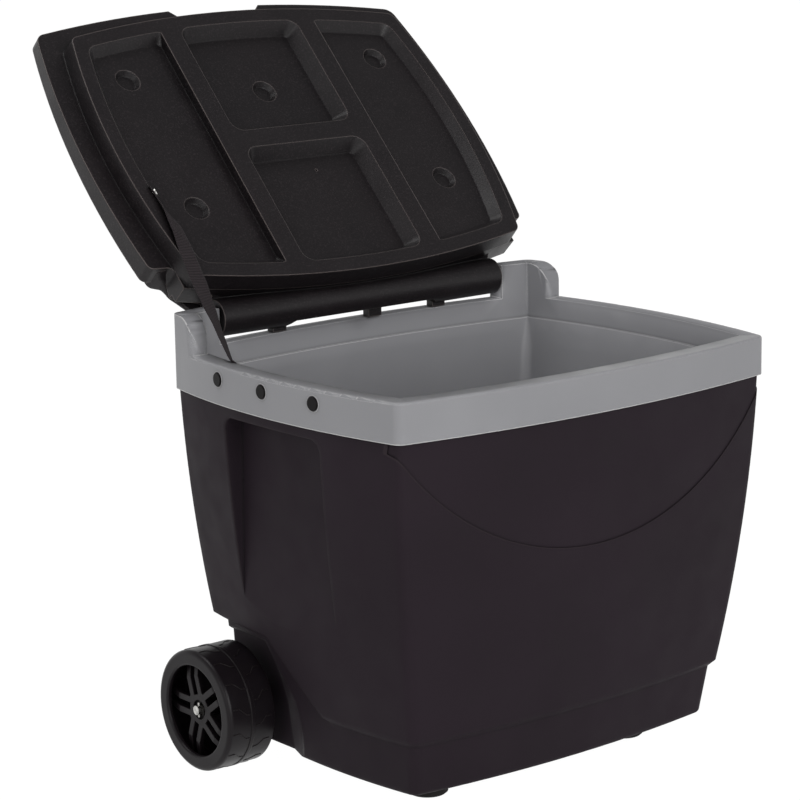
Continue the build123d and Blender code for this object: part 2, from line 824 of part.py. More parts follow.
with BuildPart() as lid_shell:
    add(lid_slab.part)
    loft([plateau_outline(plateau_bottom, inset=plateau_draft), plateau_outline(flange_bottom)])
    loft(
        [
            bowed_outline(lid_level(flange_top), crown_in, crown_in, plateau_bow_loss),
            bowed_outline(
                lid_level(crown_top), crown_in + crown_slope, crown_in + crown_slope, plateau_bow_loss
            ),
        ]
    )
    add(lid_fairing.part)
    add([right_pocket.part, left_pocket, middle_pockets.part], mode=Mode.SUBTRACT)
    add(lid_cavity.part, mode=Mode.SUBTRACT)
    for floor, places in ((side_floor, side_dimples), (middle_floor, [middle_dimple])):
        with BuildSketch(lid_level(floor)):
            with Locations(*places):
                Circle(dimple_mouth_radius)
        extrude(amount=dimple_depth, taper=dimple_draft, mode=Mode.SUBTRACT)
    with BuildSketch(lid_level(middle_floor)):
        with Locations((vent_x, vent_y)):
            Circle(vent_radius)
    extrude(amount=2 * lid_skin, mode=Mode.SUBTRACT)
    with BuildSketch(strap_top_plane):
        Circle(rivet_shank_radius + rivet_fit)
    extrude(amount=-rivet_shank_length, mode=Mode.SUBTRACT)
    with BuildSketch(Plane.YZ.offset(roll_end_wall - roll_half_length)):
        with Locations((hinge_y, hinge_z)):
            Circle(roll_bore)
    extrude(amount=2 * roll_half_length - 2 * roll_end_wall, mode=Mode.SUBTRACT)
    add(grip_cut.part, mode=Mode.SUBTRACT)
    add(roll_tabs.part)
    with BuildSketch(Plane.YZ.offset(-roll_half_length)):
        with Locations((hinge_y, hinge_z)):
            Circle(pin_radius + pin_fit)
    extrude(amount=2 * roll_half_length, mode=Mode.SUBTRACT)
lid_shell.part.label = "lid_shell"
export_step(lid_shell.part, "parts/lid_shell.step")

# Strap that stops the open lid: riveted to the ring's inner wall, bent over the ring, down to the liner
strap_lift = seat_gap + strap_thickness / 2
foot_up = strap_foot_plane.x_dir
foot_across = strap_foot_plane.y_dir
foot_middle = strap_foot_plane.origin - foot_up * strap_foot_drop - strap_foot_plane.z_dir * strap_lift
foot_end = foot_middle + foot_up * (strap_foot_drop + strap_flat_rise)
top_across = strap_top_plane.x_dir
top_along = strap_top_plane.y_dir * -1
top_middle = strap_top_plane.origin + strap_top_plane.z_dir * strap_lift
top_end = top_middle + top_along * strap_tab / 2
ring_edge = lid_plane.from_local_coords(
    Vector(strap_edge_in - collar_half_length, strap_edge_y, plateau_bottom - strap_edge_clear)
)
edge_across = Vector(cos(radians(strap_edge_tilt)), 0, 0) + lid_up * sin(radians(strap_edge_tilt))
span = ring_edge - foot_end
rise = ring_edge - top_end
wall_run = span - strap_foot_plane.z_dir * span.dot(strap_foot_plane.z_dir)


def strap_section(middle, along, across):
    """Section of the webbing, square to its run."""
    with BuildSketch(Plane(origin=middle, x_dir=across, z_dir=along)) as section:
        Rectangle(strap_width, strap_thickness)
    return section.sketch


strap_sections = [strap_section(foot_middle - foot_up * strap_tab / 2, foot_up, foot_across)]
strap_sections.append(strap_section(foot_end, foot_up + wall_run.normalized(), foot_across))
for step in range(1, strap_spans):
    across = foot_across + (edge_across - foot_across) * step / strap_spans
    strap_sections.append(strap_section(foot_end + span * step / strap_spans, span, across))
strap_sections.append(strap_section(ring_edge, span.normalized() - rise.normalized(), edge_across))
strap_sections.append(strap_section(top_end, -rise.normalized() - top_along, top_across))
strap_sections.append(strap_section(top_end - top_along * strap_tab, top_along * -1, top_across))

with BuildPart() as lid_strap:
    loft(strap_sections, ruled=True)
    with BuildSketch(strap_foot_plane):
        with Locations((-strap_foot_drop, 0)):
            Circle(rivet_shank_radius + rivet_fit)
    extrude(amount=2 * strap_lift, both=True, mode=Mode.SUBTRACT)
    with BuildSketch(strap_top_plane):
        Circle(rivet_shank_radius + rivet_fit)
    extrude(amount=2 * strap_lift, both=True, mode=Mode.SUBTRACT)
lid_strap.part.label = "lid_strap"
export_step(lid_strap.part, "parts/lid_strap.step")

strap_stack = strap_thickness + 2 * seat_gap
with BuildPart() as strap_lower_rivet:
    with BuildSketch(strap_foot_plane.offset(-strap_stack)):
        with Locations((-strap_foot_drop, 0)):
            Circle(rivet_head_radius)
    extrude(amount=-rivet_head_height)
    with BuildSketch(strap_foot_plane.offset(-strap_stack)):
        with Locations((-strap_foot_drop, 0)):
            Circle(rivet_shank_radius)
    extrude(amount=strap_stack + rivet_shank_length)
strap_lower_rivet.part.label = "strap_lower_rivet"
export_step(strap_lower_rivet.part, "parts/strap_lower_rivet.step")

with BuildPart() as strap_upper_rivet:
    with BuildSketch(strap_top_plane.offset(strap_stack)):
        Circle(rivet_head_radius)
    extrude(amount=rivet_head_height)
    with BuildSketch(strap_top_plane.offset(strap_stack)):
        Circle(rivet_shank_radius)
    extrude(amount=rivet_fit - strap_stack - rivet_shank_length)
strap_upper_rivet.part.label = "strap_upper_rivet"
export_step(strap_upper_rivet.part, "parts/strap_upper_rivet.step")

# Running gear: fixed axle in a sleeve through the base, one wheel of two halves at each end
axle_axis = Axis((0, axle_y, axle_z), (1, 0, 0))
radial_plane = Plane(origin=(0, axle_y, axle_z), x_dir=(1, 0, 0), z_dir=(0, -1, 0))
hub_face_x = wheel_outer_x - hub_recess
dish_x = hub_face_x - hub_dish_depth
sleeve_end_x = well_floor_x + sleeve_stand_out
axle_end_x = hub_face_x + axle_overhang
washer_x = dish_x + running_gap
cotter_x = washer_x + washer_thickness + cotter_radius + seat_gap
tread_radius = wheel_radius - seam_height
bore_radius = axle_radius + axle_fit


def axle_disc(x):
    """Upright plane square to the axle, centred on it."""
    return Plane(origin=(x, axle_y, axle_z), x_dir=(0, 1, 0), z_dir=(1, 0, 0))


with BuildPart() as axle:
    with BuildSketch(axle_disc(-axle_end_x)):
        Circle(axle_radius)
    extrude(amount=2 * axle_end_x)
    for side in (1, -1):
        with BuildSketch(Plane.XY.offset(axle_z)):
            with Locations((side * cotter_x, axle_y)):
                Circle(cotter_radius + axle_fit)
        extrude(amount=cotter_length, both=True, mode=Mode.SUBTRACT)
axle.part.label = "axle"
export_step(axle.part, "parts/axle.step")

with BuildPart() as axle_sleeve:
    with BuildSketch(axle_disc(-sleeve_end_x)):
        Circle(sleeve_radius)
        Circle(axle_radius + sleeve_bore_fit, mode=Mode.SUBTRACT)
    extrude(amount=2 * sleeve_end_x)
axle_sleeve.part.label = "axle_sleeve"
export_step(axle_sleeve.part, "parts/axle_sleeve.step")

with BuildPart() as wheel_spacers:
    with BuildSketch(axle_disc(sleeve_end_x + seat_gap)):
        Circle(spacer_radius)
        Circle(axle_radius + sleeve_bore_fit, mode=Mode.SUBTRACT)
    extrude(amount=wheel_inner_x - running_gap - sleeve_end_x - seat_gap)
    mirror(about=Plane.YZ)
wheel_spacers.part.label = "wheel_spacers"
export_step(wheel_spacers.part, "parts/wheel_spacers.step")

with BuildPart() as axle_washers:
    with BuildSketch(axle_disc(washer_x)):
        Circle(washer_radius)
        Circle(axle_radius + sleeve_bore_fit, mode=Mode.SUBTRACT)
    extrude(amount=washer_thickness)
    mirror(about=Plane.YZ)
axle_washers.part.label = "axle_washers"
export_step(axle_washers.part, "parts/axle_washers.step")

with BuildPart() as split_pins:
    with BuildSketch(Plane.XY.offset(axle_z - cotter_length / 2)):
        with Locations((cotter_x, axle_y), (-cotter_x, axle_y)):
            Circle(cotter_radius)
    extrude(amount=cotter_length)
split_pins.part.label = "split_pins"
export_step(split_pins.part, "parts/split_pins.step")

with BuildPart() as spoke_pair:
    for offset_y in (spoke_half_spacing, -spoke_half_spacing):
        with BuildSketch(radial_plane.offset(offset_y)):
            with BuildLine():
                inner_x = hub_face_x - spoke_thickness
                Polyline(
                    (hub_face_x, hub_tube_radius),
                    (hub_face_x, spoke_kink_radius),
                    (hub_face_x - spoke_drop, tread_radius - tread_wall / 2),
                    (inner_x - spoke_drop, tread_radius - tread_wall / 2),
                    (inner_x, spoke_kink_radius),
                    (inner_x, hub_tube_radius),
                    close=True,
                )
            make_face()
        extrude(amount=spoke_width / 2, both=True)

with BuildPart() as right_wheel_outer:
    with BuildSketch(radial_plane) as half:
        with BuildLine():
            Polyline(
                (wheel_middle_x, tread_radius - tread_wall),
                (wheel_middle_x, tread_radius),
                (wheel_outer_x, tread_radius),
                (wheel_outer_x, rim_opening_radius),
                (wheel_outer_x - sidewall_thickness, rim_opening_radius),
                (wheel_outer_x - sidewall_thickness, tread_radius - tread_wall),
                close=True,
            )
        make_face()
        fillet(half.vertices().group_by(Axis.X)[-1].sort_by(Axis.Z)[-1], shoulder_radius)
        fillet(half.vertices().group_by(Axis.X)[-1].sort_by(Axis.Z)[0], shoulder_radius / 2)
        with Locations((wheel_middle_x, tread_radius)):
            Rectangle(seam_width, 2 * seam_height, align=(Align.MIN, Align.CENTER))
        with Locations((wheel_middle_x, bore_radius)):
            Rectangle(dish_x - wheel_middle_x, hub_tube_radius - bore_radius, align=Align.MIN)
    revolve(axis=axle_axis)
    for turn in range(spoke_pairs):
        add(spoke_pair.part.rotate(axle_axis, spoke_start + 360 / spoke_pairs * turn))
    with BuildSketch(axle_disc(hub_face_x - hub_thickness)):
        RegularPolygon(hub_radius, spoke_pairs, rotation=180 / spoke_pairs)
        Circle(bore_radius, mode=Mode.SUBTRACT)
    extrude(amount=hub_thickness)
    with BuildSketch(axle_disc(dish_x)):
        Circle(hub_dish_radius)
    extrude(amount=wheel_outer_width, mode=Mode.SUBTRACT)
right_wheel_outer.part.label = "right_wheel_outer"
export_step(right_wheel_outer.part, "parts/right_wheel_outer.step")

with BuildPart() as right_wheel_inner:
    with BuildSketch(radial_plane) as half:
        with BuildLine():
            Polyline(
                (wheel_middle_x, tread_radius - tread_wall),
                (wheel_middle_x, tread_radius),
                (wheel_inner_x, tread_radius),
                (wheel_inner_x, rim_opening_radius),
                (wheel_inner_x + sidewall_thickness, rim_opening_radius),
                (wheel_inner_x + sidewall_thickness, tread_radius - tread_wall),
                close=True,
            )
        make_face()
        fillet(half.vertices().group_by(Axis.X)[0].sort_by(Axis.Z)[-1], shoulder_radius)
        with Locations((wheel_middle_x, bore_radius)):
            Rectangle(wheel_inner_width, hub_tube_radius - bore_radius, align=(Align.MAX, Align.MIN))
        with Locations((wheel_inner_x + sidewall_thickness, bore_radius)):
            Rectangle(web_thickness, tread_radius - tread_wall / 2 - bore_radius, align=Align.MIN)
    revolve(axis=axle_axis)
right_wheel_inner.part.label = "right_wheel_inner"
export_step(right_wheel_inner.part, "parts/right_wheel_inner.step")

left_wheel_outer = mirror(right_wheel_outer.part, about=Plane.YZ)
left_wheel_outer.label = "left_wheel_outer"
export_step(left_wheel_outer, "parts/left_wheel_outer.step")

left_wheel_inner = mirror(right_wheel_inner.part, about=Plane.YZ)
left_wheel_inner.label = "left_wheel_inner"
export_step(left_wheel_inner, "parts/left_wheel_inner.step")

# Front feet, as tall as the wheels reach below the tub, each held by one screw
for name, x in (("right_foot", foot_x), ("left_foot", -foot_x)):
    with BuildPart() as foot:
        with Locations((x, foot_y, 0)):
            Cone(foot_tread_radius, foot_radius, base, align=(Align.CENTER, Align.CENTER, Align.MIN))
        chamfer(foot.edges().filter_by(GeomType.CIRCLE).sort_by(Axis.Z)[0], foot_edge)
        with BuildSketch(Plane.XY):
            with Locations((x, foot_y)):
                Circle(screw_head_radius + screw_fit)
        extrude(amount=screw_recess, mode=Mode.SUBTRACT)
        with BuildSketch(Plane.XY):
            with Locations((x, foot_y)):
                Circle(screw_shank_radius + screw_fit)
        extrude(amount=base, mode=Mode.SUBTRACT)
    foot.part.label = name
    export_step(foot.part, f"parts/{name}.step")

with BuildPart() as foot_screws:
    with BuildSketch(Plane.XY.offset(screw_recess - screw_head_height)):
        with Locations((foot_x, foot_y), (-foot_x, foot_y)):
            Circle(screw_head_radius)
    extrude(amount=screw_head_height)
    with BuildSketch(Plane.XY.offset(screw_recess)):
        with Locations((foot_x, foot_y), (-foot_x, foot_y)):
            Circle(screw_shank_radius)
    extrude(amount=base + shell_wall + screw_reach - screw_recess)
foot_screws.part.label = "foot_screws"
export_step(foot_screws.part, "parts/foot_screws.step")
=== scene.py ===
"""Looks of the wheeled cooler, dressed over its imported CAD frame. Metres, in the CAD's own frame."""

import math

import bmesh
import bpy
from mathutils import Matrix, Vector


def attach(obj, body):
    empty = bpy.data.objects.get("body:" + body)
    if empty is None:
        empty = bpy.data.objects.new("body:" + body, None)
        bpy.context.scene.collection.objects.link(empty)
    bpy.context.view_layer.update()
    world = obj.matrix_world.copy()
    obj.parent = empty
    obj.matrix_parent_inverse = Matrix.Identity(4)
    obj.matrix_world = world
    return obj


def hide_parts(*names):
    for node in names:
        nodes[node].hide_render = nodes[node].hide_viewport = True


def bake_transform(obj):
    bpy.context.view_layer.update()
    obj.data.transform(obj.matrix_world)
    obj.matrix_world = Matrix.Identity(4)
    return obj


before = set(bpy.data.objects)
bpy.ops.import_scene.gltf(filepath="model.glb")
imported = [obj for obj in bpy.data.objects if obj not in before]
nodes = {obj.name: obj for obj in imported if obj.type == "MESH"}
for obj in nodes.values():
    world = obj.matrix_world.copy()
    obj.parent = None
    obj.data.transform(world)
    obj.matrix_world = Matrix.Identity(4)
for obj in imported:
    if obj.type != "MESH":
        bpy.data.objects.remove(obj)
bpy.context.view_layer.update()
scene = bpy.context.scene

SIDES = ((-1, "left"), (1, "right"))


def linear(code):
    """sRGB hex colour as linear RGBA."""
    channels = [int(code[i : i + 2], 16) / 255 for i in (1, 3, 5)]
    return tuple(c / 12.92 if c <= 0.04045 else ((c + 0.055) / 1.055) ** 2.4 for c in channels) + (1.0,)


def per_metre(size_mm):
    """Pattern scale that makes one lump or thread about size_mm across."""
    return 1000 / size_mm


def add(tree, kind, settings=None, sockets=None):
    """Adds a node with its settings, and sets or links its input sockets."""
    node = tree.nodes.new(kind)
    for key, value in (settings or {}).items():
        setattr(node, key, value)
    for key, value in (sockets or {}).items():
        if isinstance(value, bpy.types.NodeSocket):
            tree.links.new(value, node.inputs[key])
        else:
            node.inputs[key].default_value = value
    return node


def blank_material(name):
    """New material without nodes, and its tree."""
    material = bpy.data.materials.new(name)
    material.use_nodes = True
    material.node_tree.nodes.clear()
    return material, material.node_tree


# Sockets of a Mix node that mixes colours
FIRST, SECOND, MIXED = 6, 7, 2
COLOUR = {"data_type": "RGBA"}
# A noise texture's values mostly lie between these, and those of its highest lumps, where the
# painted glints fall, between the next
NOISE_LOW, NOISE_HIGH = 0.3, 0.7
GLINT_LOW, GLINT_HIGH = 0.52, 0.75
# Slow changes in every moulded skin: of its tone, of its gloss and of its level
TONE_DRIFT_MM = 140
GLOSS_PATCH_MM = 35
SWELL_MM = 60
SWELL_DEPTH_MM = 0.25
# Occlusion at which an edge's painted highlight starts and is full, and the same for a hollow's painted
# shade
HIGHLIGHT_START, HIGHLIGHT_FULL = 0.98, 0.68
SHADE_START, SHADE_FULL = 0.95, 0.3
# Colour of the painted shade in the deepest hollows
PAINTED_SHADE_BLACK = "#020202"
# Share of its own colour that the deepest hollow keeps under its painted shade
SHADE_KEEPS = 0.35
# Rays that look for the edges and hollows round a point
LOOKUP_RAYS = 4


def moulded_plastic(name, body, edge, glint_colour, rough, specular, round_mm, edge_highlight, grain, shade_reach_mm=9.0):
    """Moulded plastic: painted highlights on soft edges, painted shade in hollows, mould grain, drifting
    tone.

    body holds its two tones, edge_highlight how strong the edges' painted highlight is and how far that
    reaches in mm, and grain the lumps' size and depth in mm and how strongly painted glints show on them as
    specks. The lumps are drawn larger than the real grain, which is too fine to show.
    """
    highlight_strength, highlight_mm = edge_highlight
    grain_mm, grain_depth_mm, glint = grain
    material, tree = blank_material(name)
    place = add(tree, "ShaderNodeTexCoord").outputs["Object"]
    drift = add(
        tree, "ShaderNodeTexNoise", {}, {"Vector": place, "Scale": per_metre(TONE_DRIFT_MM), "Detail": 3}
    )
    even = add(
        tree,
        "ShaderNodeMapRange",
        {},
        {"Value": drift.outputs["Fac"], "From Min": NOISE_LOW, "From Max": NOISE_HIGH},
    )
    tone = add(
        tree,
        "ShaderNodeMix",
        COLOUR,
        {"Factor": even.outputs["Result"], FIRST: linear(body[0]), SECOND: linear(body[1])},
    )
    lumps = add(
        tree, "ShaderNodeTexNoise", {}, {"Vector": place, "Scale": per_metre(grain_mm), "Detail": 3}
    )
    # Painted glints: the highest lumps of the grain are painted paler, as specks
    glint_peaks = add(
        tree,
        "ShaderNodeMapRange",
        {},
        {"Value": lumps.outputs["Fac"], "From Min": GLINT_LOW, "From Max": GLINT_HIGH, "To Max": glint},
    )
    glinted_colour = add(
        tree,
        "ShaderNodeMix",
        COLOUR,
        {"Factor": glint_peaks.outputs["Result"], FIRST: tone.outputs[MIXED], SECOND: linear(glint_colour)},
    )
    # Occlusion looked for inside the wall finds the outer edges, and outside it finds the hollows
    corner = add(
        tree,
        "ShaderNodeAmbientOcclusion",
        {"inside": True, "only_local": True, "samples": LOOKUP_RAYS},
        {"Distance": highlight_mm / 1000},
    )
    # Painted highlight: the outer edges are painted paler, towards the edge colour
    painted_highlight = add(
        tree,
        "ShaderNodeMapRange",
        {},
        {"Value": corner.outputs["AO"], "From Min": HIGHLIGHT_START, "From Max": HIGHLIGHT_FULL, "To Max": highlight_strength},
    )
    highlighted_colour = add(
        tree,
        "ShaderNodeMix",
        COLOUR,
        {"Factor": painted_highlight.outputs["Result"], FIRST: glinted_colour.outputs[MIXED], SECOND: linear(edge)},
    )
    # Painted shade: the hollows are painted towards near black
    hollow = add(
        tree, "ShaderNodeAmbientOcclusion", {"samples": LOOKUP_RAYS}, {"Distance": shade_reach_mm / 1000}
    )
    unshaded_share = add(
        tree,
        "ShaderNodeMapRange",
        {},
        {
            "Value": hollow.outputs["AO"],
            "From Min": SHADE_FULL,
            "From Max": SHADE_START,
            "To Min": SHADE_KEEPS,
        },
    )
    shaded_colour = add(
        tree,
        "ShaderNodeMix",
        COLOUR,
        {"Factor": unshaded_share.outputs["Result"], FIRST: linear(PAINTED_SHADE_BLACK), SECOND: highlighted_colour.outputs[MIXED]},
    )
    patches = add(tree, "ShaderNodeTexNoise", {}, {"Vector": place, "Scale": per_metre(GLOSS_PATCH_MM)})
    gloss = add(
        tree,
        "ShaderNodeMapRange",
        {},
        {
            "Value": patches.outputs["Fac"],
            "From Min": NOISE_LOW,
            "From Max": NOISE_HIGH,
            "To Min": rough[0],
            "To Max": rough[1],
        },
    )
    soft_edges = add(tree, "ShaderNodeBevel", {"samples": LOOKUP_RAYS}, {"Radius": round_mm / 1000})
    swell = add(
        tree, "ShaderNodeTexNoise", {}, {"Vector": place, "Scale": per_metre(SWELL_MM), "Detail": 1}
    )
    waves = add(
        tree,
        "ShaderNodeBump",
        {},
        {
            "Height": swell.outputs["Fac"],
            "Distance": SWELL_DEPTH_MM / 1000,
            "Normal": soft_edges.outputs["Normal"],
        },
    )
    pebbles = add(
        tree,
        "ShaderNodeBump",
        {},
        {
            "Height": lumps.outputs["Fac"],
            "Distance": grain_depth_mm / 1000,
            "Normal": waves.outputs["Normal"],
        },
    )
    shader = add(
        tree,
        "ShaderNodeBsdfPrincipled",
        {},
        {
            "Base Color": shaded_colour.outputs[MIXED],
            "Roughness": gloss.outputs["Result"],
            "Specular IOR Level": specular,
            "Normal": pebbles.outputs["Normal"],
        },
    )
    add(tree, "ShaderNodeOutputMaterial", {}, {"Surface": shader.outputs["BSDF"]})
    return material


def turned_steel(name, bright, dulled, mark_mm, mark_depth_mm, cloud_mm):
    """Plated steel: turning marks round X, drawn coarser than real ones to show, and a little dulling."""
    material, tree = blank_material(name)
    place = add(tree, "ShaderNodeTexCoord").outputs["Object"]
    # Drawn out across X, so that the marks run round each pin
    drawn = add(tree, "ShaderNodeMapping", {}, {"Vector": place, "Scale": (1.0, 0.15, 0.15)})
    lines = add(
        tree,
        "ShaderNodeTexNoise",
        {},
        {"Vector": drawn.outputs["Vector"], "Scale": per_metre(mark_mm), "Detail": 2},
    )
    bloom = add(tree, "ShaderNodeTexNoise", {}, {"Vector": place, "Scale": per_metre(cloud_mm)})
    share = add(
        tree,
        "ShaderNodeMapRange",
        {},
        {"Value": bloom.outputs["Fac"], "From Min": NOISE_LOW, "From Max": NOISE_HIGH},
    )
    tone = add(
        tree,
        "ShaderNodeMix",
        COLOUR,
        {"Factor": share.outputs["Result"], FIRST: linear(bright), SECOND: linear(dulled)},
    )
    gloss = add(
        tree, "ShaderNodeMapRange", {}, {"Value": share.outputs["Result"], "To Min": 0.22, "To Max": 0.42}
    )
    marks = add(
        tree, "ShaderNodeBump", {}, {"Height": lines.outputs["Fac"], "Distance": mark_depth_mm / 1000}
    )
    shader = add(
        tree,
        "ShaderNodeBsdfPrincipled",
        {},
        {
            "Base Color": tone.outputs[MIXED],
            "Metallic": 1.0,
            "Roughness": gloss.outputs["Result"],
            "Normal": marks.outputs["Normal"],
        },
    )
    add(tree, "ShaderNodeOutputMaterial", {}, {"Surface": shader.outputs["BSDF"]})
    return material


# A wave texture's bands lie this far apart in its scaled length
WAVE_BAND = math.pi / 10


def woven_webbing(name, rib_mm, thread_mm, thread_depth_mm, fuzz_mm, fuzz_depth_mm):
    """Black polypropylene webbing: ribs across, threads along, drawn coarse enough to show, a dull fuzz."""
    material, tree = blank_material(name)
    place = add(tree, "ShaderNodeUVMap").outputs["UV"]
    ribs = add(
        tree,
        "ShaderNodeTexWave",
        {"bands_direction": "X"},
        {"Vector": place, "Scale": per_metre(rib_mm) * WAVE_BAND},
    )
    threads = add(
        tree,
        "ShaderNodeTexWave",
        {"bands_direction": "Y"},
        {"Vector": place, "Scale": per_metre(thread_mm) * WAVE_BAND},
    )
    fuzz = add(tree, "ShaderNodeTexNoise", {}, {"Vector": place, "Scale": per_metre(fuzz_mm), "Detail": 4})
    worn = add(
        tree,
        "ShaderNodeMapRange",
        {},
        {"Value": fuzz.outputs["Fac"], "From Min": NOISE_LOW, "From Max": NOISE_HIGH, "To Max": 0.4},
    )
    # Painted highlight on the ribs and painted shade in the gaps, by the wave's bands
    rib_light_and_shade = add(
        tree,
        "ShaderNodeMix",
        COLOUR,
        {"Factor": ribs.outputs["Fac"], FIRST: linear("#050404"), SECOND: linear("#3a3336")},
    )
    tone = add(
        tree,
        "ShaderNodeMix",
        COLOUR,
        {"Factor": worn.outputs["Result"], FIRST: rib_light_and_shade.outputs[MIXED], SECOND: linear("#1a1618")},
    )
    gloss = add(
        tree, "ShaderNodeMapRange", {}, {"Value": fuzz.outputs["Fac"], "To Min": 0.55, "To Max": 0.95}
    )
    yarn = add(
        tree, "ShaderNodeBump", {}, {"Height": threads.outputs["Fac"], "Distance": thread_depth_mm / 1000}
    )
    nap = add(
        tree,
        "ShaderNodeBump",
        {},
        {"Height": fuzz.outputs["Fac"], "Distance": fuzz_depth_mm / 1000, "Normal": yarn.outputs["Normal"]},
    )
    shader = add(
        tree,
        "ShaderNodeBsdfPrincipled",
        {},
        {
            "Base Color": tone.outputs[MIXED],
            "Roughness": gloss.outputs["Result"],
            "Sheen Weight": 0.03,
            "Specular IOR Level": 0.12,
            "Normal": nap.outputs["Normal"],
        },
    )
    add(tree, "ShaderNodeOutputMaterial", {}, {"Surface": shader.outputs["BSDF"]})
    return material


def cell_foam(name, cell_mm, cell_depth_mm, ageing_mm):
    """Rigid polyurethane foam: cream, with open cells at the skin."""
    material, tree = blank_material(name)
    place = add(tree, "ShaderNodeTexCoord").outputs["Object"]
    cells = add(tree, "ShaderNodeTexVoronoi", {}, {"Vector": place, "Scale": per_metre(cell_mm)})
    ageing = add(tree, "ShaderNodeTexNoise", {}, {"Vector": place, "Scale": per_metre(ageing_mm)})
    tone = add(
        tree,
        "ShaderNodeMix",
        COLOUR,
        {"Factor": ageing.outputs["Fac"], FIRST: linear("#d9c48a"), SECOND: linear("#c9b177")},
    )
    gloss = add(
        tree, "ShaderNodeMapRange", {}, {"Value": ageing.outputs["Fac"], "To Min": 0.8, "To Max": 0.95}
    )
    skin = add(
        tree, "ShaderNodeBump", {}, {"Height": cells.outputs["Distance"], "Distance": cell_depth_mm / 1000}
    )
    shader = add(
        tree,
        "ShaderNodeBsdfPrincipled",
        {},
        {
            "Base Color": tone.outputs[MIXED],
            "Roughness": gloss.outputs["Result"],
            "Normal": skin.outputs["Normal"],
        },
    )
    add(tree, "ShaderNodeOutputMaterial", {}, {"Surface": shader.outputs["BSDF"]})
    return material


# Materials, named for the real ones
# Polypropylene with a fine spark grain: even and almost matt, so the tub looks one dark tone
charcoal = moulded_plastic(
    "charcoal_polypropylene_spark_grain",
    body=("#1f191e", "#231c22"),
    edge="#383133",
    glint_colour="#2c2629",
    rough=(0.5, 0.62),
    specular=0.07,
    round_mm=6.0,
    edge_highlight=(0.35, 1.5),
    grain=(0.9, 0.03, 0.2),
    shade_reach_mm=4.0,
)
# The same plastic in grey with a satin skin: soft broad highlights on every rounded edge, and a pale
# painted highlight
grey = moulded_plastic(
    "grey_polypropylene_satin",
    body=("#7c7c7f", "#828285"),
    edge="#d0cfcf",
    glint_colour="#8c8b8d",
    rough=(0.34, 0.46),
    specular=0.35,
    round_mm=2.4,
    edge_highlight=(0.9, 1.2),
    grain=(0.7, 0.012, 0.0),
    shade_reach_mm=4.0,
)
# Painted highlight: a paler copy of the grey, for where the plugs' seats stand proud and catch the light
lit_seat_grey = moulded_plastic(
    "grey_polypropylene_painted_lit_plug_seat",
    body=("#8e8d8f", "#949395"),
    edge="#b9b7b7",
    glint_colour="#9c9b9c",
    rough=(0.36, 0.48),
    specular=0.35,
    round_mm=0.6,
    edge_highlight=(0.6, 0.3),
    grain=(0.7, 0.012, 0.0),
    shade_reach_mm=1.0,
)
# Blow-moulded polyethylene: pebbled, with glints on its soft edges and its pebbles, partly painted,
# and painted black shade in its hollows
lid_black = moulded_plastic(
    "black_polyethylene_blow_moulded",
    body=("#131012", "#171315"),
    edge="#615957",
    glint_colour="#3c3638",
    rough=(0.32, 0.44),
    specular=0.25,
    round_mm=2.2,
    edge_highlight=(0.8, 1.1),
    grain=(1.9, 0.12, 0.4),
    shade_reach_mm=15.0,
)
# The same plastic with a smooth skin: darker, with a faint sheen along the spokes and the tread,
# partly a painted highlight on their edges
wheel_black = moulded_plastic(
    "black_polyethylene_smooth",
    body=("#100c0f", "#130f12"),
    edge="#332d2c",
    glint_colour="#221d20",
    rough=(0.3, 0.44),
    specular=0.16,
    round_mm=1.4,
    edge_highlight=(0.3, 0.7),
    grain=(1.6, 0.02, 0.1),
)
# Injection-moulded nylon: nearly black, with a thin painted highlight on its edges
trim_black = moulded_plastic(
    "black_nylon_satin",
    body=("#0c0a0b", "#0f0d0e"),
    edge="#2c2929",
    glint_colour="#1a1819",
    rough=(0.4, 0.5),
    specular=0.1,
    round_mm=1.0,
    edge_highlight=(0.5, 0.5),
    grain=(0.6, 0.01, 0.0),
)
# Moulded rubber: dull and soft-edged, with no clear highlight
foot_rubber = moulded_plastic(
    "black_rubber_matt",
    body=("#1b1a1a", "#222020"),
    edge="#2c2a29",
    glint_colour="#2a2828",
    rough=(0.7, 0.85),
    specular=0.2,
    round_mm=1.6,
    edge_highlight=(0.4, 0.8),
    grain=(0.8, 0.04, 0.3),
)
# Turned and zinc-plated steel: bright, with fine rings and a cloudy bloom
steel = turned_steel(
    "zinc_plated_steel", "#c9c8c4", "#8b8a87", mark_mm=0.5, mark_depth_mm=0.02, cloud_mm=6
)
# The same steel blackened: its rings only show as a dark sheen
dark_steel = turned_steel(
    "blackened_steel", "#1b1918", "#2a2725", mark_mm=0.5, mark_depth_mm=0.02, cloud_mm=6
)
# Woven webbing: dull black, with painted highlights on its ribs and painted shade in the gaps between them
WEBBING_RIB_MM = 2.1
webbing = woven_webbing(
    "black_polypropylene_webbing",
    rib_mm=WEBBING_RIB_MM,
    thread_mm=1.3,
    thread_depth_mm=0.12,
    fuzz_mm=0.6,
    fuzz_depth_mm=0.08,
)
# Foam poured between the walls: cream and matt
foam = cell_foam("cream_polyurethane_foam", cell_mm=1.5, cell_depth_mm=0.4, ageing_mm=40)

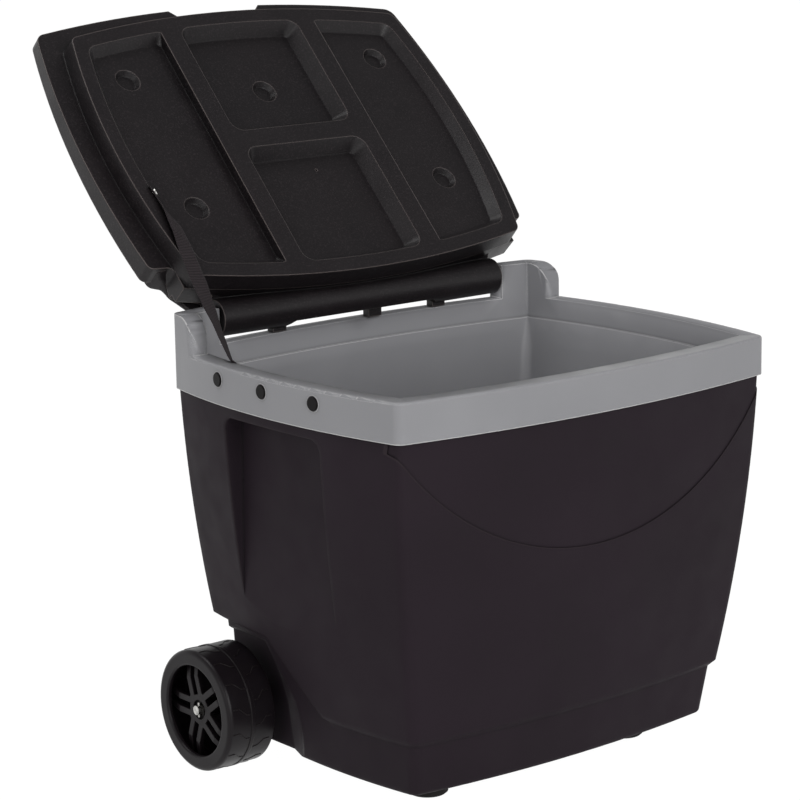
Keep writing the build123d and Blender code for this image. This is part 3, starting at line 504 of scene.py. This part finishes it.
dress = {
    charcoal: ["outer_shell"],
    grey: ["liner_collar"],
    lid_black: ["lid_shell"],
    wheel_black: ["left_wheel_outer", "left_wheel_inner", "right_wheel_outer", "right_wheel_inner"],
    trim_black: ["left_collar_plugs", "right_collar_plugs", "axle_sleeve", "wheel_spacers"],
    foot_rubber: ["left_foot", "right_foot"],
    steel: [
        "left_hinge_pin",
        "right_hinge_pin",
        "axle",
        "split_pins",
        "foot_screws",
        "strap_lower_rivet",
        "strap_upper_rivet",
    ],
    dark_steel: ["axle_washers"],
    foam: ["body_insulation"],
    webbing: ["lid_strap"],
}
for material, names in dress.items():
    for name in names:
        nodes[name].data.materials.clear()
        nodes[name].data.materials.append(material)


def mesh_object(name, verts, faces, material, smooth=True):
    """New piece from points and faces."""
    mesh = bpy.data.meshes.new(name)
    mesh.from_pydata([tuple(v) for v in verts], [], faces)
    mesh.materials.append(material)
    mesh.polygons.foreach_set("use_smooth", [smooth] * len(mesh.polygons))
    piece = bpy.data.objects.new(name, mesh)
    scene.collection.objects.link(piece)
    return piece


def outward(piece):
    """Turns a closed piece's faces outwards."""
    shape = bmesh.new()
    shape.from_mesh(piece.data)
    bmesh.ops.recalc_face_normals(shape, faces=shape.faces)
    shape.to_mesh(piece.data)
    shape.free()
    return piece


def closed_tube(name, rings, material, smooth=True):
    """New piece through rings of points, with both of its ends closed."""
    ring = len(rings[0])
    verts = [point for points in rings for point in points]
    faces = []
    for i in range(len(rings) - 1):
        for k in range(ring):
            a, b = i * ring + k, i * ring + (k + 1) % ring
            faces.append((a, b, b + ring, a + ring))
    faces += [tuple(range(ring)), tuple(range(len(verts) - ring, len(verts)))]
    return outward(mesh_object(name, verts, faces, material, smooth))


def modified_mesh(piece):
    """The piece's mesh with its modifiers worked in."""
    return bpy.data.meshes.new_from_object(piece.evaluated_get(bpy.context.evaluated_depsgraph_get()))


# Collar: the fronts of the ears are rounded back from the rim to the top
EAR_FRONT = 0.137
EAR_FOOT = 0.441
EAR_TOP = 0.477
EAR_ROUND = 0.030
EAR_ROUND_STEPS = 24
EAR_INNER = 0.19
EAR_OUTER = 0.30
CUT_CLEARANCE = 0.004
COLLAR_SHARP = math.radians(40)
# Corners of the CAD mesh's loose triangles that lie this close are one
MERGE_DISTANCE = 1e-6


def ear_height_at(y):
    """Height of the rounded ear's front over its foot, at a distance y behind its front."""
    share = min(max(1 - y / EAR_ROUND, 0.0), 1.0)
    return (EAR_TOP - EAR_FOOT) * math.sqrt(1 - share * share)


def ear_cutter(side):
    """Prism in front of one ear, hollowed to the ear's round."""
    front, top = EAR_FRONT - CUT_CLEARANCE, EAR_TOP + CUT_CLEARANCE
    profile = [(front, top), (front, EAR_FOOT)]
    for i in range(EAR_ROUND_STEPS + 1):
        y = EAR_ROUND * (1 - math.cos(math.pi / 2 * i / EAR_ROUND_STEPS))
        profile.append((EAR_FRONT + y, EAR_FOOT + ear_height_at(y)))
    profile.append((EAR_FRONT + EAR_ROUND, top))
    rings = [[(side * x, y, z) for y, z in profile] for x in (EAR_INNER, EAR_OUTER)]
    return closed_tube("ear_cutter", rings, grey)


def round_eared_collar(name):
    """Copy of the collar with its ears' fronts cut round."""
    shape = bmesh.new()
    shape.from_mesh(nodes["liner_collar"].data)
    bmesh.ops.remove_doubles(shape, verts=shape.verts, dist=MERGE_DISTANCE)
    piece = mesh_object(name, [], [], grey)
    shape.to_mesh(piece.data)
    shape.free()
    cutters = [ear_cutter(side) for side, label in SIDES]
    for cutter in cutters:
        cut = piece.modifiers.new("ear_front", "BOOLEAN")
        cut.operation = "DIFFERENCE"
        cut.solver = "EXACT"
        cut.object = cutter
    piece.data = modified_mesh(piece)
    piece.modifiers.clear()
    for cutter in cutters:
        bpy.data.objects.remove(cutter)
    piece.data.shade_smooth()
    piece.data.set_sharp_from_angle(angle=COLLAR_SHARP)
    flats = piece.modifiers.new("true_flats", "WEIGHTED_NORMAL")
    flats.keep_sharp = True
    piece.data = modified_mesh(piece)
    piece.modifiers.clear()
    piece.data.materials.clear()
    piece.data.materials.append(grey)
    return piece


collar = round_eared_collar("collar_with_round_ears")
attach(collar, "tub")
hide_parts("liner_collar")


# Lid cheeks: the lid's edge swells over the ears' rounded fronts, down to the hinge
HINGE = Vector((0.0, 0.189, 0.464))
LID_TURN = math.radians(-134)
RIM_TOP = 0.439
CHEEK_INNER = 0.188
CHEEK_GAP = 0.0025
CHEEK_FOOT = 0.001
CHEEK_EDGE = 0.004
CHEEK_LEAST_HEIGHT = 0.0048
CHEEK_STEPS = 5
CHEEK_CORNER_STEPS = 6
CHEEK_SHARP = math.radians(50)
# Stations of the shut lid: distance back, half width and top over the rim
CHEEK_STATIONS = [
    (0.112, 0.2570, 0.0170),
    (0.122, 0.2540, 0.0260),
    (0.130, 0.2500, 0.0320),
    (0.134, 0.2460, 0.0345),
    (0.136, 0.2400, 0.0355),
    (0.138, 0.2330, 0.0365),
    (0.142, 0.2285, 0.0385),
    (0.147, 0.2240, 0.0415),
    (0.153, 0.2160, 0.0440),
    (0.160, 0.2090, 0.0455),
    (0.168, 0.2030, 0.0460),
    (0.173, 0.1990, 0.0460),
]


def smooth_stations(stations, steps):
    """Stations on a smooth curve through the given ones."""
    knots = [Vector(station) for station in stations]
    curve = []
    for i in range(len(knots) - 1):
        before, start = knots[max(i - 1, 0)], knots[i]
        end, after = knots[i + 1], knots[min(i + 2, len(knots) - 1)]
        leave, arrive = (end - before) / 2, (after - start) / 2
        for k in range(steps):
            t = k / steps
            curve.append(
                start * (2 * t**3 - 3 * t**2 + 1)
                + leave * (t**3 - 2 * t**2 + t)
                + end * (3 * t**2 - 2 * t**3)
                + arrive * (t**3 - t**2)
            )
    return curve + [knots[-1]]


def lid_cheek(name, side):
    """One cheek, built on the shut lid and turned open with it."""
    open_lid = Matrix.Translation(HINGE) @ Matrix.Rotation(LID_TURN, 4, "X") @ Matrix.Translation(-HINGE)
    rings = []
    for y, reach, top in smooth_stations(CHEEK_STATIONS, CHEEK_STEPS):
        over_ear = EAR_FOOT - RIM_TOP + ear_height_at(y + CHEEK_GAP - EAR_FRONT) + CHEEK_GAP
        foot = min(max(CHEEK_FOOT, over_ear), top - CHEEK_LEAST_HEIGHT)
        edge = min(CHEEK_EDGE, (top - foot) / 2)
        section = [(CHEEK_INNER, foot)]
        for middle, start in ((foot + edge, -math.pi / 2), (top - edge, 0.0)):
            for i in range(CHEEK_CORNER_STEPS + 1):
                angle = start + math.pi / 2 * i / CHEEK_CORNER_STEPS
                section.append((reach - edge + edge * math.cos(angle), middle + edge * math.sin(angle)))
        section.append((CHEEK_INNER, top))
        rings.append([open_lid @ Vector((side * x, y, RIM_TOP + height)) for x, height in section])
    cheek = closed_tube(name, rings, lid_black)
    cheek.data.set_sharp_from_angle(angle=CHEEK_SHARP)
    return cheek


for side, label in SIDES:
    cheek = lid_cheek(f"{label}_lid_cheek", side)
    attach(cheek, "lid")


# Strap: a webbing ribbon with real ribs, from the liner's wall over the ring to the ring's inner slope
STRAP_ROUTE = [
    Vector((-0.24323, 0.07981, 0.4200)),
    Vector((-0.24300, 0.08150, 0.4310)),
    Vector((-0.24150, 0.09450, 0.4420)),
    Vector((-0.22000, 0.21400, 0.56200)),
    Vector((-0.21948, 0.24724, 0.58758)),
    Vector((-0.22076, 0.25832, 0.59905)),
]
STRAP_BEND = 0.012
STRAP_BEND_STEPS = 12
# How the ribbon lies across, at lengths along it: flat on the wall, twisted in the air, flat on the slope
STRAP_TURNS = [
    (0.000, Vector((0.099, 0.995, 0.000))),
    (0.009, Vector((0.099, 0.995, 0.000))),
    (0.026, Vector((0.684, 0.325, -0.650))),
    (0.060, Vector((0.772, 0.231, -0.565))),
    (0.098, Vector((0.921, 0.047, -0.342))),
    (0.126, Vector((0.968, -0.081, -0.110))),
    (0.165, Vector((0.952, -0.060, -0.185))),
    (0.195, Vector((0.900, 0.080, -0.380))),
    (0.230, Vector((0.654, 0.579, -0.487))),
    (0.300, Vector((0.654, 0.579, -0.487))),
]
STRAP_WIDTH = 0.018
STRAP_THICKNESS = 0.0013
STRAP_ACROSS_STEPS = 8
# Share of the width, on each side, over which the ribbon thins, and the share of thickness it loses there
STRAP_EDGE_SHARE = 0.1
STRAP_EDGE_LOSS = 0.45
RIB_PITCH = WEBBING_RIB_MM / 1000
RIB_HEIGHT = 0.00016
RIB_STEPS = 6
SHORTEST_LEG = 1e-9


def strap_across(length):
    """Direction across the ribbon at a length along it."""
    for (start, before), (end, after) in zip(STRAP_TURNS, STRAP_TURNS[1:]):
        if length <= end:
            share = (length - start) / (end - start)
            return before.lerp(after, share * share * (3 - 2 * share)).normalized()
    return STRAP_TURNS[-1][1]


def rounded_route(route, radius, step):
    """Even points along a route whose bends are rounded off by quadratic arcs, and its length."""
    dense = [route[0]]
    for before, corner, after in zip(route, route[1:], route[2:]):
        reach = min(radius, (before - corner).length / 2, (after - corner).length / 2)
        enter = corner + (before - corner).normalized() * reach
        leave = corner + (after - corner).normalized() * reach
        for i in range(STRAP_BEND_STEPS + 1):
            t = i / STRAP_BEND_STEPS
            dense.append(enter * (1 - t) ** 2 + corner * 2 * t * (1 - t) + leave * t * t)
    dense.append(route[-1])
    lengths = [0.0]
    for a, b in zip(dense, dense[1:]):
        lengths.append(lengths[-1] + (b - a).length)
    count = round(lengths[-1] / step)
    points, leg = [], 0
    for i in range(count + 1):
        want = lengths[-1] * i / count
        while leg < len(dense) - 2 and lengths[leg + 1] < want:
            leg += 1
        run = max(lengths[leg + 1] - lengths[leg], SHORTEST_LEG)
        points.append(dense[leg].lerp(dense[leg + 1], (want - lengths[leg]) / run))
    return points, lengths[-1]


def webbing_ribbon(name):
    """The strap's ribbon, ribbed on both faces, with lengths along and across it as its UV map."""
    points, total = rounded_route(STRAP_ROUTE, STRAP_BEND, RIB_PITCH / RIB_STEPS)
    rings, uvs = [], []
    for i, point in enumerate(points):
        length = total * i / (len(points) - 1)
        ahead = points[min(i + 1, len(points) - 1)] - points[max(i - 1, 0)]
        across = strap_across(length)
        across = (across - ahead * across.dot(ahead) / ahead.length_squared).normalized()
        out = ahead.normalized().cross(across)
        rib = RIB_HEIGHT * math.cos(2 * math.pi * length / RIB_PITCH)
        ring = []
        for face in (1, -1):
            for j in range(STRAP_ACROSS_STEPS + 1):
                share = (j / STRAP_ACROSS_STEPS - 0.5) * face
                edge = max(0, (abs(share) - 0.5 + STRAP_EDGE_SHARE) / STRAP_EDGE_SHARE)
                lift = face * (STRAP_THICKNESS / 2 + rib) * (1 - STRAP_EDGE_LOSS * edge**2)
                ring.append(point + across * (share * STRAP_WIDTH) + out * lift)
                uvs.append((length, share * STRAP_WIDTH))
        rings.append(ring)
    piece = closed_tube(name, rings, webbing)
    layer = piece.data.uv_layers.new(name="UVMap")
    for loop in piece.data.loops:
        layer.data[loop.index].uv = uvs[loop.vertex_index]
    return piece


strap = webbing_ribbon("lid_strap_webbing")
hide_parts("lid_strap")
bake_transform(strap)


# Tread: raised zig-zag sipes on both halves of each wheel, repeated round the axle
AXLE = Vector((0.0, 0.123, 0.0655))
WHEEL_MIDDLE = 0.248
TREAD_RADIUS = 0.0648
SIPE_COUNT = 15
# Bends of each zig-zag: distance from the wheel's middle, and distance round the tread
OUTER_SIPE = [(0.0060, 0.0), (0.0110, 0.0005), (0.0190, 0.0080), (0.0270, 0.0080)]
INNER_SIPE = [(0.0020, 0.0), (0.0070, 0.0005), (0.0140, 0.0075), (0.0205, 0.0075)]
SIPE_FOOT_HALF = 0.0009
SIPE_TOP_HALF = 0.000405
SIPE_HEIGHT = 0.0006
SIPE_SINK = 0.0002


def sipe_ridge(name, route, side):
    """One zig-zag ridge laid on the tread at the top of a wheel that is centred on the origin."""
    section = [
        (-SIPE_FOOT_HALF, -SIPE_SINK),
        (-SIPE_TOP_HALF, SIPE_HEIGHT),
        (SIPE_TOP_HALF, SIPE_HEIGHT),
        (SIPE_FOOT_HALF, -SIPE_SINK),
    ]
    rings = []
    for across, along in route:
        ring = []
        for shift, height in section:
            angle = (along + shift) / TREAD_RADIUS
            radius = TREAD_RADIUS + height
            ring.append((side * across, radius * math.sin(angle), radius * math.cos(angle)))
        rings.append(ring)
    return closed_tube(name, rings, wheel_black, smooth=False)


def wheel_repeat():
    """Geometry nodes tree that repeats a motif round the X axis and gives it its material."""
    tree = bpy.data.node_groups.new("wheel_repeat", "GeometryNodeTree")
    sockets = {}
    for title, kind in (
        ("Geometry", "NodeSocketGeometry"),
        ("Motif", "NodeSocketObject"),
        ("Count", "NodeSocketInt"),
        ("Step", "NodeSocketFloat"),
        ("Phase", "NodeSocketFloat"),
        ("Finish", "NodeSocketMaterial"),
    ):
        sockets[title] = tree.interface.new_socket(title, in_out="INPUT", socket_type=kind).identifier
    tree.interface.new_socket("Geometry", in_out="OUTPUT", socket_type="NodeSocketGeometry")
    given = add(tree, "NodeGroupInput").outputs
    points = add(tree, "GeometryNodePoints", {}, {"Count": given["Count"]})
    index = add(tree, "GeometryNodeInputIndex")
    angle = add(
        tree,
        "ShaderNodeMath",
        {"operation": "MULTIPLY_ADD"},
        {0: index.outputs["Index"], 1: given["Step"], 2: given["Phase"]},
    )
    turn = add(tree, "ShaderNodeCombineXYZ", {}, {"X": angle.outputs["Value"]})
    motif = add(tree, "GeometryNodeObjectInfo", {}, {"Object": given["Motif"]})
    placed = add(
        tree,
        "GeometryNodeInstanceOnPoints",
        {},
        {
            "Points": points.outputs[0],
            "Instance": motif.outputs["Geometry"],
            "Rotation": turn.outputs["Vector"],
        },
    )
    real = add(tree, "GeometryNodeRealizeInstances", {}, {"Geometry": placed.outputs["Instances"]})
    painted = add(
        tree,
        "GeometryNodeSetMaterial",
        {},
        {"Geometry": real.outputs["Geometry"], "Material": given["Finish"]},
    )
    add(tree, "NodeGroupOutput", {}, {"Geometry": painted.outputs["Geometry"]})
    return tree, sockets


def repeated(name, motif, count, phase, centre, material):
    """The repeat as a plain mesh piece, moved to its wheel."""
    piece = mesh_object(name, [], [], material)
    repeat = piece.modifiers.new("repeat", "NODES")
    repeat.node_group, sockets = REPEAT
    repeat[sockets["Motif"]] = motif
    repeat[sockets["Count"]] = count
    repeat[sockets["Step"]] = 2 * math.pi / count
    repeat[sockets["Phase"]] = phase
    repeat[sockets["Finish"]] = material
    piece.data = modified_mesh(piece)
    piece.modifiers.clear()
    piece.data.transform(Matrix.Translation(centre))
    return piece


REPEAT = wheel_repeat()
for side, label in SIDES:
    centre = Vector((side * WHEEL_MIDDLE, AXLE.y, AXLE.z))
    for half, phase in ((1, 0.0), (-1, math.pi / SIPE_COUNT)):
        tag, route = ("outer", OUTER_SIPE) if half == side else ("inner", INNER_SIPE)
        motif = sipe_ridge("sipe_motif", route, half)
        sipes = repeated(f"{label}_{tag}_tread_sipes", motif, SIPE_COUNT, phase, centre, wheel_black)
        bpy.data.objects.remove(motif)
        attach(sipes, f"{label}_wheel")


# Moulded rims round the plugs, painted pale as a highlight, in a row along each bowed end of the collar
COLLAR_END = 0.2693
COLLAR_HALF_DEPTH = 0.1865
COLLAR_BOW = 0.0213
PLUG_MIDDLE = 0.0030
PLUG_SPACING = 0.0797
PLUG_HEIGHT = 0.4245
PLUG_RIM_RADIUS = 0.0081
PLUG_RIM_BEAD = 0.0007
PLUG_RIM_STEPS = 40
PLUG_BEAD_STEPS = 8


def plug_rims(name, side):
    """A thin raised ring on the collar's end face round each plug head."""
    verts, faces = [], []
    bow_radius = (COLLAR_HALF_DEPTH**2 + COLLAR_BOW**2) / (2 * COLLAR_BOW)
    for place in (1, 0, -1):
        base = len(verts)
        y = PLUG_MIDDLE + place * PLUG_SPACING
        turn = math.asin(y / bow_radius)
        middle = Vector((side * (COLLAR_END - bow_radius * (1 - math.cos(turn))), y, PLUG_HEIGHT))
        out = Vector((side * math.cos(turn), math.sin(turn), 0))
        along = Vector((-out.y, out.x, 0))
        for i in range(PLUG_RIM_STEPS):
            angle = 2 * math.pi * i / PLUG_RIM_STEPS
            spoke = along * math.cos(angle) + Vector((0, 0, math.sin(angle)))
            for j in range(PLUG_BEAD_STEPS):
                roll = 2 * math.pi * j / PLUG_BEAD_STEPS
                reach = PLUG_RIM_RADIUS + PLUG_RIM_BEAD * math.cos(roll)
                verts.append(middle + spoke * reach + out * (PLUG_RIM_BEAD * math.sin(roll)))
        for i in range(PLUG_RIM_STEPS):
            for j in range(PLUG_BEAD_STEPS):
                i2, j2 = (i + 1) % PLUG_RIM_STEPS, (j + 1) % PLUG_BEAD_STEPS
                corners = ((i, j), (i2, j), (i2, j2), (i, j2))
                faces.append([base + a * PLUG_BEAD_STEPS + b for a, b in corners])
    return outward(mesh_object(name, verts, faces, lit_seat_grey))


for side, label in SIDES:
    rims = plug_rims(f"{label}_plug_rims", side)
    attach(rims, "tub")


def seen_rays(tree):
    """1 for a ray from the camera or one that metal or glass passes on, 0 for the light on the object."""
    rays = add(tree, "ShaderNodeLightPath").outputs
    seen = rays["Is Camera Ray"]
    for kind in ("Is Glossy Ray", "Is Transmission Ray"):
        either = add(tree, "ShaderNodeMath", {"operation": "MAXIMUM"}, {0: seen, 1: rays[kind]})
        seen = either.outputs["Value"]
    return seen


FLOOR_HALF = 60.0
FLOOR_MOTTLE_MM = 900
FLOOR_WHITE = 1.06
# What is left of the matt floor beside the white keeps the object's shadow
FLOOR_WHITE_SHARE = 0.94


def pale_floor():
    """Floor that is white to the camera, with a soft contact shadow left in it."""
    material, tree = blank_material("matt_white_studio_floor")
    place = add(tree, "ShaderNodeTexCoord").outputs["Object"]
    mottle = add(tree, "ShaderNodeTexNoise", {}, {"Vector": place, "Scale": per_metre(FLOOR_MOTTLE_MM)})
    tone = add(
        tree,
        "ShaderNodeMix",
        COLOUR,
        {"Factor": mottle.outputs["Fac"], FIRST: linear("#f2f2f1"), SECOND: linear("#f6f6f5")},
    )
    matt = add(
        tree,
        "ShaderNodeBsdfPrincipled",
        {},
        {"Base Color": tone.outputs[MIXED], "Roughness": 0.9, "Specular IOR Level": 0.1},
    )
    white = add(tree, "ShaderNodeEmission", {}, {"Strength": FLOOR_WHITE})
    share = add(
        tree, "ShaderNodeMath", {"operation": "MULTIPLY"}, {0: seen_rays(tree), 1: FLOOR_WHITE_SHARE}
    )
    surface = add(
        tree,
        "ShaderNodeMixShader",
        {},
        {0: share.outputs["Value"], 1: matt.outputs["BSDF"], 2: white.outputs["Emission"]},
    )
    add(tree, "ShaderNodeOutputMaterial", {}, {"Surface": surface.outputs["Shader"]})
    corners = [(x * FLOOR_HALF, y * FLOOR_HALF, 0) for x, y in ((-1, -1), (1, -1), (1, 1), (-1, 1))]
    floor = mesh_object("floor", corners, [(0, 1, 2, 3)], material)


pale_floor()


# Backdrop: its fill at the horizon, what is added to that for the eye and for reflections, and its fill
# overhead, with the heights between which it darkens
HORIZON_FILL = 0.6
HORIZON_WHITER = 0.42
OVERHEAD_FILL = 0.33
DARKENS_FROM = 0.18
DARKENS_TO = 0.65
# Lamps: place, what each is turned to, width and power
LAMPS = {
    "front_key": ((-0.6, -3.2, 1.5), (0.0, 0.0, 0.3), 2.0, 66),
    "left_fill": ((-3.0, -0.9, 1.3), (0.0, 0.0, 0.3), 2.0, 17),
    "rear_soft": ((-0.9, 0.9, 2.9), (0.0, 0.1, 0.3), 1.6, 28),
}


def studio_light():
    """Fill that darkens overhead, a broad front key, a left fill and a weak light behind on the left."""
    scene.world = bpy.data.worlds.new("studio")
    scene.world.use_nodes = True
    tree = scene.world.node_tree
    tree.nodes.clear()
    way = add(tree, "ShaderNodeTexCoord").outputs["Generated"]
    height = add(tree, "ShaderNodeSeparateXYZ", {}, {"Vector": way}).outputs["Z"]
    horizon = add(
        tree,
        "ShaderNodeMath",
        {"operation": "MULTIPLY_ADD"},
        {0: seen_rays(tree), 1: HORIZON_WHITER, 2: HORIZON_FILL},
    )
    fill = add(
        tree,
        "ShaderNodeMapRange",
        {},
        {
            "Value": height,
            "From Min": DARKENS_FROM,
            "From Max": DARKENS_TO,
            "To Min": horizon.outputs["Value"],
            "To Max": OVERHEAD_FILL,
        },
    )
    sky = add(
        tree, "ShaderNodeBackground", {}, {"Color": linear("#ffffff"), "Strength": fill.outputs["Result"]}
    )
    add(tree, "ShaderNodeOutputWorld", {}, {"Surface": sky.outputs["Background"]})
    for name, (place, target, size, power) in LAMPS.items():
        lamp = bpy.data.lights.new(name, "AREA")
        lamp.shape = "DISK"
        lamp.size = size
        lamp.energy = power
        piece = bpy.data.objects.new(name, lamp)
        scene.collection.objects.link(piece)
        piece.location = place
        piece.rotation_euler = (Vector(target) - Vector(place)).to_track_quat("-Z", "Y").to_euler()


studio_light()


# Camera fitted to the photograph: its place, how it is turned, and its focal length in the photo's pixels
CAMERA_PLACE = (-1.8646, -2.1928, 0.9951)
CAMERA_YAW = math.radians(38.90)
CAMERA_PITCH = math.radians(12.10)
CAMERA_ROLL = math.radians(0.92)
FOCAL_PIXELS = 2794
PHOTO_PIXELS = 800
SENSOR_MM = 36.0
CLIP_END = 200.0


def photo_camera():
    """The photograph's camera: a long lens at the front's left, looking a little down, rolled slightly."""
    flat = math.cos(CAMERA_PITCH)
    ahead = Vector((math.sin(CAMERA_YAW) * flat, math.cos(CAMERA_YAW) * flat, -math.sin(CAMERA_PITCH)))
    right = Vector((math.cos(CAMERA_YAW), -math.sin(CAMERA_YAW), 0.0))
    down = ahead.cross(right)
    image_right = right * math.cos(CAMERA_ROLL) + down * math.sin(CAMERA_ROLL)
    image_down = down * math.cos(CAMERA_ROLL) - right * math.sin(CAMERA_ROLL)
    data = bpy.data.cameras.new("photo_camera")
    data.sensor_width = SENSOR_MM
    data.sensor_fit = "HORIZONTAL"
    data.lens = FOCAL_PIXELS / PHOTO_PIXELS * SENSOR_MM
    data.clip_end = CLIP_END
    camera = bpy.data.objects.new("photo_camera", data)
    scene.collection.objects.link(camera)
    rotation = Matrix((image_right, -image_down, -ahead)).transposed()
    camera.matrix_world = Matrix.Translation(CAMERA_PLACE) @ rotation.to_4x4()
    scene.camera = camera


photo_camera()
scene.view_settings.view_transform = "Standard"
